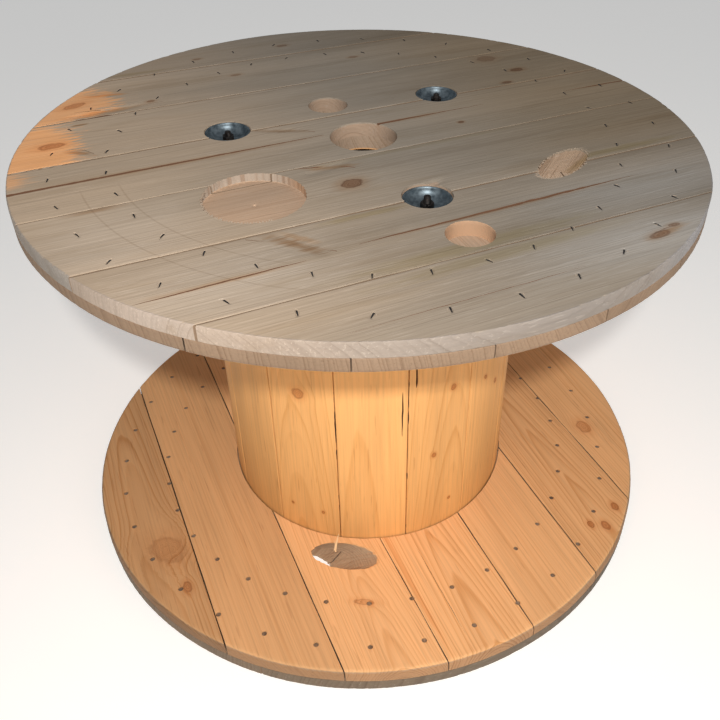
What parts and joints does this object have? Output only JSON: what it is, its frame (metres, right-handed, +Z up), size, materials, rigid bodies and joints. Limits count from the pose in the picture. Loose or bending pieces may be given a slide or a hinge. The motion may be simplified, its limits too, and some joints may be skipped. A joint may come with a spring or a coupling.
{
  "type": "wooden cable drum",
  "caption": "Round wooden cable drum on its end: two nailed board flanges tied by steel rods to a barrel of upright staves, with a spindle bore.",
  "frame": {"origin": "on the drum's axis, at the bottom flange's outside face, which rests on the floor", "axes": "+Z up along the spindle bore; -Y is the side with the bottom flange's cable hole and the near driving hole"},
  "size_m": [0.8, 0.8, 0.53],
  "materials": {
    "weathered_pine": "greyed, dusty sawn pine",
    "pine": "dry sawn pine",
    "stave_pine": "planed pine",
    "rod_steel": "dull mill steel",
    "cup_steel": "dark blued pressed steel",
    "nail_steel": "dark wire nail"
  },
  "bodies": {
    "root": {"bottom_outer_board_1": "pine", "bottom_outer_board_2": "pine", "bottom_outer_board_3": "pine", "bottom_outer_board_4": "pine", "bottom_outer_board_5": "pine", "bottom_outer_board_6": "pine", "bottom_outer_board_7": "pine", "bottom_inner_board_1": "pine", "bottom_inner_board_2": "pine", "bottom_inner_board_3": "pine", "bottom_inner_board_4": "pine", "bottom_inner_board_5": "pine", "bottom_inner_board_6": "pine", "bottom_inner_board_7": "pine", "stave_1": "stave_pine", "stave_2": "stave_pine", "stave_3": "stave_pine", "stave_4": "stave_pine", "stave_5": "stave_pine", "stave_6": "stave_pine", "stave_7": "stave_pine", "stave_8": "stave_pine", "stave_9": "stave_pine", "stave_10": "stave_pine", "stave_11": "stave_pine", "stave_12": "stave_pine", "stave_13": "stave_pine", "stave_14": "stave_pine", "top_inner_board_1": "pine", "top_inner_board_2": "pine", "top_inner_board_3": "pine", "top_inner_board_4": "pine", "top_inner_board_5": "pine", "top_inner_board_6": "pine", "top_inner_board_7": "pine", "top_outer_board_1": "weathered_pine", "top_outer_board_2": "weathered_pine", "top_outer_board_3": "weathered_pine", "top_outer_board_4": "weathered_pine", "top_outer_board_5": "weathered_pine", "top_outer_board_6": "weathered_pine", "top_outer_board_7": "weathered_pine", "tie_rod_1": "rod_steel", "tie_rod_2": "rod_steel", "tie_rod_3": "rod_steel", "bottom_cup_washers": "cup_steel", "top_cup_washers": "cup_steel", "bottom_nuts": "rod_steel", "top_nuts": "rod_steel", "bottom_nails": "nail_steel", "top_nails": "nail_steel"}
  },
  "joints": []
}
